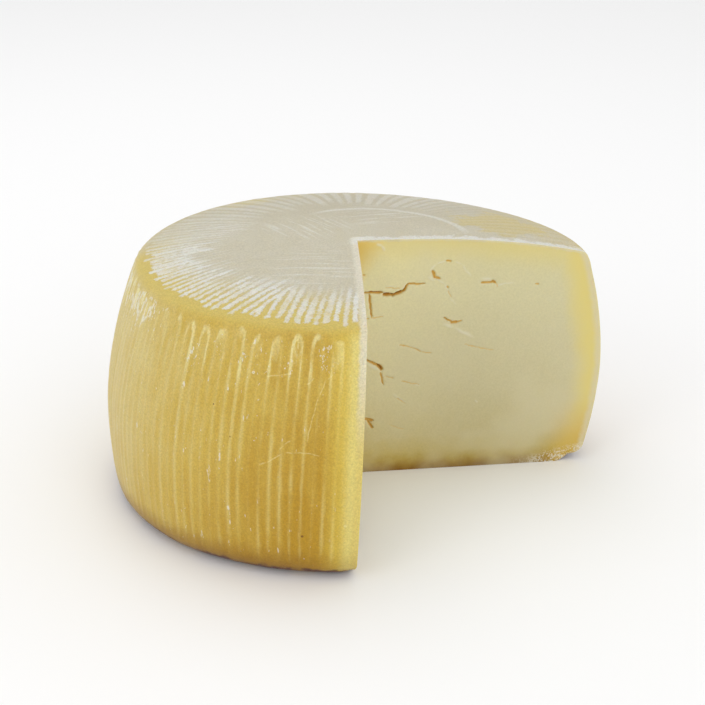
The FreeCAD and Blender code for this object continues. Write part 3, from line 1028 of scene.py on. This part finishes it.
def top_colour(tree, where, mottle):
    flat = vector(tree, "MULTIPLY", where, (1, 1, 0))
    radius = vector(tree, "LENGTH", flat)
    x, y, _ = axes_of(tree, where)
    cloud = speckle(tree, where, 20, detail=4.0)
    # Grey beige: partly the top's own greyed colour, partly a painted sheen of the bright surroundings on the
    # flat top.
    base = blend(tree, times(tree, mottle, 0.35), BEIGE_AND_SHEEN, BEIGE_PALE_AND_SHEEN)
    base = blend(tree, span(tree, y, -0.01, 0.06, 0.0, 0.75), base, BEIGE_BACK)
    ragged = speckle(tree, where, 70, detail=5.0, roughness=0.7)
    stained = maths(tree, "MULTIPLY_ADD", ragged, 0.05, vector(tree, "DISTANCE", flat, (0.058, 0.026, 0)))
    base = blend(tree, span(tree, stained, 0.045, 0.037, 0.0, 0.9), base, STAIN)
    behind = maths(tree, "MULTIPLY_ADD", cloud, 0.04, vector(tree, "DISTANCE", flat, (-0.045, 0.066, 0)))
    base = blend(tree, span(tree, behind, 0.038, 0.026, 0.0, 0.6), base, STAIN)
    outer = span(tree, maths(tree, "MULTIPLY_ADD", cloud, 0.026, radius), 0.076, 0.097)
    slanted = maths(tree, "ADD", y, times(tree, x, -0.4))
    outer = times(tree, outer, span(tree, slanted, 0.045, 0.015, 0.15, 1.0))
    outer = times(tree, outer, span(tree, x, 0.03, 0.0, 0.3, 1.0))
    base = blend(tree, outer, base, RIM_TAN)
    left = mat_lines(tree, flat, (-0.020, 0.008), -58, 0.0018, 0.030)
    back = mat_lines(tree, flat, (0.008, 0.028), 22, 0.0020, 0.030)
    front = mat_lines(tree, flat, (-0.016, -0.040), -2, 0.0022, 0.030)
    side = mat_lines(tree, flat, (-0.060, 0.016), 3, 0.0020, 0.032)
    pale = maths(tree, "MAXIMUM", maths(tree, "MAXIMUM", left, back), maths(tree, "MAXIMUM", front, side))
    hoop = maths(tree, "SUBTRACT", vector(tree, "DISTANCE", flat, HOOP_CENTRE), HOOP_RADIUS)
    hoop = maths(tree, "MULTIPLY_ADD", cloud, 0.006, maths(tree, "SUBTRACT", hoop, 0.003))
    hoop = span(tree, maths(tree, "ABSOLUTE", hoop), 0.0022, 0.0006)
    hoop = times(tree, hoop, span(tree, y, 0.002, 0.014), span(tree, x, -0.022, -0.010))
    pale = maths(tree, "MAXIMUM", pale, hoop)
    return blend(tree, times(tree, pale, 0.5), base, BAR_WHITE_AND_HIGHLIGHT), pale


# %% [markdown]
# The rind's edges at the cut are paler: a painted glow of light coming through the thin corner of paste.
# Along the left cut the side turns from deep yellow to a brighter gold and pale yellow, both that painted
# glow, and then to a thin whitish seam at the paste's edge. Along the right cut a ragged white strip lies
# on the top. Every one of these is a distance from a cut with a ragged edge.

# %% Edges of the rind
def edge_colours(tree, where, colour, on_top):
    rag = raggedness(tree, where, 420, detail=4.0)
    x, _, z = axes_of(tree, where)
    left = maths(tree, "MULTIPLY_ADD", rag, 0.0018, number(tree, "left_edge"))
    right = maths(tree, "MULTIPLY_ADD", rag, 0.0018, number(tree, "right_edge"))
    either = maths(tree, "MINIMUM", left, right)
    on_side = maths(tree, "SUBTRACT", 1, on_top)
    high = span(tree, z, 0.045, 0.085)
    seam = blend(tree, high, SEAM_LOW, SEAM_HIGH)
    # Painted glow of light through the thin corner of paste: gold, then pale straw nearer the cut.
    colour = blend(tree, times(tree, span(tree, either, 0.016, 0.006), on_side, 0.6), colour, EDGE_GLOW_GOLD)
    colour = blend(tree, times(tree, span(tree, either, 0.008, 0.0035), on_side, 0.85), colour, EDGE_GLOW_STRAW)
    side_seam = times(tree, span(tree, either, 0.0034, 0.0016), on_side)
    seamed = maths(tree, "MAXIMUM", span(tree, left, 0.0034, 0.0016), side_seam)
    colour = blend(tree, times(tree, seamed, 0.8), colour, seam)
    far_rag = raggedness(tree, where, 230, detail=5.0, roughness=0.7)
    strip = maths(tree, "MULTIPLY_ADD", far_rag, 0.015, number(tree, "right_edge"))
    beside = times(tree, span(tree, strip, 0.0048, 0.0030, 0.0, 0.75), span(tree, x, -0.004, 0.001), on_top)
    return blend(tree, beside, colour, BAR_WHITE_AND_HIGHLIGHT)


def foot_colours(tree, where, colour):
    _, _, z = axes_of(tree, where)
    rag = raggedness(tree, where, 260, detail=5.0, roughness=0.65)
    # Brown towards the foot, with dark maroon patches at the very bottom.
    uneven = maths(tree, "MULTIPLY_ADD", rag, 0.006, z)
    away = span(tree, number(tree, "left_edge"), 0, 0.03, 0.4, 1.0)
    brown = times(tree, span(tree, uneven, 0.015, 0.003, 0.0, 0.76), away)
    colour = blend(tree, brown, colour, BROWN)
    patches = span(tree, speckle(tree, where, 70, stretch=(1, 1, 0.2), detail=3.0), 0.40, 0.56, 0.25, 1.0)
    return blend(tree, times(tree, span(tree, uneven, 0.0050, 0.0030), patches), colour, MAROON)


# %% The rind material
def rind_material():
    material, tree, where = new_material("reeded_rind")
    grains = grain(tree, where, 1500, 90)
    on_top = number(tree, "top_share")
    side, streak = side_colour(tree, where, grains["Mottle"])
    bloom_and_glints = times(tree, side_bloom_and_glints(tree, where), maths(tree, "SUBTRACT", 1, on_top))
    # White bloom, with painted glints among the dashes on the left under the rim.
    side = blend(tree, times(tree, bloom_and_glints, 0.68), side, BLOOM_AND_GLINT)
    facing_front = span(tree, axes_of(tree, where)["Y"], -0.05, -0.06)
    side = single_marks(tree, where, side, facing_front)
    top, pale = top_colour(tree, where, grains["Mottle"])
    # White bars: partly the basket's pale marks, partly a painted highlight on their raised tops.
    bars_and_highlight = times(tree, bar_and_highlight_mask(tree, where), on_top)
    top = blend(tree, times(tree, bars_and_highlight, 0.92), top, BAR_WHITE_AND_HIGHLIGHT)
    colour = blend(tree, on_top, side, top)
    colour = edge_colours(tree, where, colour, on_top)
    colour = foot_colours(tree, where, colour)
    fleck = speckle(tree, where, 1500, detail=3.0, roughness=0.7)
    colour = shade(tree, colour, span(tree, fleck, 0.25, 0.75, 0.86, 1.14))
    raised = maths(tree, "MULTIPLY_ADD", times(tree, pale, on_top), 0.4, bars_and_highlight)
    relief = maths(tree, "MULTIPLY_ADD", raised, 1.0, times(tree, grains["Height"], 0.5))
    relief = maths(tree, "MULTIPLY_ADD", maths(tree, "ADD", streak, bloom_and_glints), 0.8, relief)
    bump = node(tree, "ShaderNodeBump", {"Height": relief, "Distance": 0.00012, "Strength": 0.6})
    matte = maths(tree, "MAXIMUM", bloom_and_glints, on_top)
    roughness = span(tree, matte, 0, 1, 0.40, 0.62)
    finish_material(tree, {
        "Base Color": colour, "Roughness": roughness, "Normal": bump.outputs[0],
        "Subsurface Weight": 0.25, "Subsurface Radius": (1.0, 0.6, 0.25), "Subsurface Scale": 0.0015,
        "Specular IOR Level": 0.35,
    })
    return material


# %% [markdown]
# ### The paste
# Inside, the paste is cream, with a yellow zone under the rind where it dried, a deep yellow corner at
# the top of the tip, and brown just over the table. Above that it darkens downwards, a painted shade,
# and a painted light brightens it near the tip of the cut. Light goes a few millimetres into it, which
# is why its edges look soft.

# %% Colours of the paste
BUTTER = tone(215, 199, 124)
HONEY = tone(208, 172, 70)
PALE_CURD = tone(206, 198, 162)
LIP = tone(216, 211, 188)
SKIN_LINE = tone(208, 200, 168)
TIP_GOLD = tone(218, 184, 78)
GAP_EDGE = tone(216, 168, 66)
GAP_AMBER_AND_SHADE = tone(160, 104, 32)
# height as a share of the wheel's height; brown just over the table, and above that a painted shade darkening
# downwards
PASTE_AND_SHADE_BY_HEIGHT = (
    (0.0, tone(126, 90, 24)), (0.022, tone(150, 118, 36)), (0.045, tone(170, 146, 66)),
    (0.08, tone(184, 167, 104)), (0.15, tone(190, 178, 131)), (0.35, tone(196, 187, 147)),
    (0.60, tone(201, 193, 154)), (0.80, tone(205, 198, 157)), (1.0, tone(208, 199, 149)),
)


# %% The paste material
def paste_material():
    material, tree, where = new_material("cut_paste")
    grains = grain(tree, where, 1100, 60)
    _, _, z = axes_of(tree, where)
    cloud = raggedness(tree, where, 24, detail=3.0)
    rag = raggedness(tree, where, 200, detail=5.0, roughness=0.65)
    drift = maths(tree, "MULTIPLY_ADD", rag, 0.003, times(tree, cloud, 0.010))
    low = maths(tree, "MULTIPLY_ADD", rag, 0.005, z)
    base = ramp(tree, times(tree, low, 1 / WHEEL_HEIGHT), PASTE_AND_SHADE_BY_HEIGHT)
    fleck = speckle(tree, where, 1300, detail=3.0, roughness=0.65)
    # Painted light: the paste is up to a fifth brighter near the tip of the cut, against the shade of that
    # corner; fine flecks vary it a little too.
    from_tip = maths(tree, "MAXIMUM", number(tree, "left_edge"), number(tree, "right_edge"))
    light = times(tree, span(tree, from_tip, 0.0, 0.055, 1.2, 1.0), span(tree, fleck, 0.25, 0.75, 0.95, 1.05))
    base = shade(tree, base, light)
    base = blend(tree, span(tree, cloud, -0.05, 0.18, 0.0, 0.5), base, PALE_CURD)
    side_depth = maths(tree, "ADD", number(tree, "side_depth"), drift)
    top_depth = maths(tree, "ADD", number(tree, "top_depth"), drift)
    under_side = times(tree, span(tree, side_depth, 0.015, 0.004), span(tree, z, 0.004, 0.03, 0.3, 1.0))
    under_top = span(tree, top_depth, 0.012, 0.001, 0.0, 0.6)
    base = blend(tree, maths(tree, "MAXIMUM", under_side, under_top), base, BUTTER)
    low_rim = times(tree, span(tree, side_depth, 0.022, 0.004), span(tree, z, 0.034, 0.008, 0.0, 0.7))
    base = blend(tree, low_rim, base, HONEY)
    tip = maths(tree, "ADD", maths(tree, "MULTIPLY_ADD", top_depth, 0.55, from_tip), drift)
    base = blend(tree, span(tree, tip, 0.015, 0.004, 0.0, 0.75), base, TIP_GOLD)
    base = blend(tree, times(tree, number(tree, "lip"), 0.75), base, LIP)
    gap = number(tree, "gap")
    base = blend(tree, span(tree, gap, 0.05, 0.50, 0.0, 0.85), base, GAP_EDGE)
    # Dark amber in the deep gaps, partly a painted shade that grows with the gap's depth.
    base = blend(tree, span(tree, gap, 0.70, 1.05), base, GAP_AMBER_AND_SHADE)
    outer_side = maths(tree, "MULTIPLY_ADD", rag, 0.0030, number(tree, "side_depth"))
    outer_top = maths(tree, "MULTIPLY_ADD", rag, 0.0022, number(tree, "top_depth"))
    side_skin = span(tree, outer_side, 0.0040, 0.0012)
    skin = maths(tree, "MAXIMUM", side_skin, span(tree, outer_top, 0.0014, 0.0004))
    base = blend(tree, times(tree, skin, 0.7), base, SKIN_LINE)
    crumb = span(tree, maths(tree, "MULTIPLY_ADD", rag, 0.7, fleck), 0.50, 0.56)
    near_foot = maths(tree, "MULTIPLY_ADD", side_depth, 0.2, low)
    crumb = times(tree, crumb, span(tree, near_foot, 0.0095, 0.0055), span(tree, side_depth, 0.034, 0.012))
    base = blend(tree, times(tree, crumb, 0.7), base, BLOOM_AND_GLINT)
    bump = node(tree, "ShaderNodeBump", {"Height": grains["Height"], "Distance": 0.00008, "Strength": 0.5})
    roughness = span(tree, grains["Mottle"], 0, 1, 0.46, 0.56)
    finish_material(tree, {
        "Base Color": base, "Roughness": roughness, "Normal": bump.outputs[0],
        "Subsurface Weight": 0.3, "Subsurface Radius": (1.0, 0.7, 0.35), "Subsurface Scale": 0.002,
        "Specular IOR Level": 0.3,
    })
    return material


mesh.materials.append(rind_material())
mesh.materials.append(paste_material())
print("materials", [material.name for material in mesh.materials])

# %% [markdown]
# ## Place in the frame
# The piece stands for the CAD wheel and moves with the only body.

# %% Ride on the frame
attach(caciotta, "root")
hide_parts("caciotta_wheel")

# %% [markdown]
# ## Floor, light and camera
# A plain pale floor and large soft lights, as in a small product studio: one broad light over the
# cheese and slightly behind, so the top's bars catch it, and one from each side of the front.

# %% Floor
floor_mesh = bpy.data.meshes.new("floor")
ground = bmesh.new()
bmesh.ops.create_grid(ground, x_segments=1, y_segments=1, size=9)
ground.to_mesh(floor_mesh)
ground.free()
floor = bpy.data.objects.new("floor", floor_mesh)
bpy.context.scene.collection.objects.link(floor)
floor_material = bpy.data.materials.new("pale_floor")
floor_material.use_nodes = True
floor_surface = floor_material.node_tree.nodes["Principled BSDF"]
floor_surface.inputs["Base Color"].default_value = (0.93, 0.93, 0.93, 1)
floor_surface.inputs["Roughness"].default_value = 0.9
floor_mesh.materials.append(floor_material)

# %% Lights
def soft_light(name, place, target, size, power, warmth=(1, 1, 1)):
    data = bpy.data.lights.new(name, "AREA")
    data.shape = "DISK"
    data.size = size
    data.energy = power
    data.color = warmth
    light = bpy.data.objects.new(name, data)
    light.location = place
    light.rotation_euler = (Vector(target) - Vector(place)).to_track_quat("-Z", "Y").to_euler()
    bpy.context.scene.collection.objects.link(light)


soft_light("overhead", (-0.25, 0.45, 1.15), (0, 0, 0.05), 0.9, 2.0)
soft_light("front_left", (-0.9, -1.1, 0.75), (0, 0, 0.05), 0.8, 2.4)
soft_light("front_right", (0.6, -1.3, 0.5), (0, 0, 0.05), 0.8, 2.4)

world = bpy.data.worlds.new("studio")
world.use_nodes = True
world.node_tree.nodes["Background"].inputs["Color"].default_value = (1, 1, 1, 1)
world.node_tree.nodes["Background"].inputs["Strength"].default_value = 0.9
bpy.context.scene.world = world
bpy.context.scene.view_settings.view_transform = "Standard"

# %% Camera
EYE_DISTANCE = 0.6
EYE_LIFT = math.radians(21.388)
TARGET = Vector((0, 0, 0.0504))
SENSOR_WIDTH = 36
LENS = 75.758
TURNS = ((0.073, "Y"), (0.024, "X"), (0.706, "Z"))
forward = Vector((0, math.cos(EYE_LIFT), -math.sin(EYE_LIFT)))
right = Vector((1, 0, 0))
down = forward.cross(right)
turned = Matrix((right, down, forward))
for angle, axis in TURNS:
    turned = Matrix.Rotation(math.radians(angle), 3, axis) @ turned
camera_data = bpy.data.cameras.new("camera")
camera_data.sensor_width = SENSOR_WIDTH
camera_data.lens = LENS
camera_data.clip_start = 0.01
camera = bpy.data.objects.new("camera", camera_data)
facing = Matrix((turned[0], -turned[1], -turned[2])).transposed()
camera.matrix_world = Matrix.Translation(TARGET - forward * EYE_DISTANCE) @ facing.to_4x4()
bpy.context.scene.collection.objects.link(camera)
bpy.context.scene.camera = camera
print("camera at", [round(value, 4) for value in camera.matrix_world.translation])
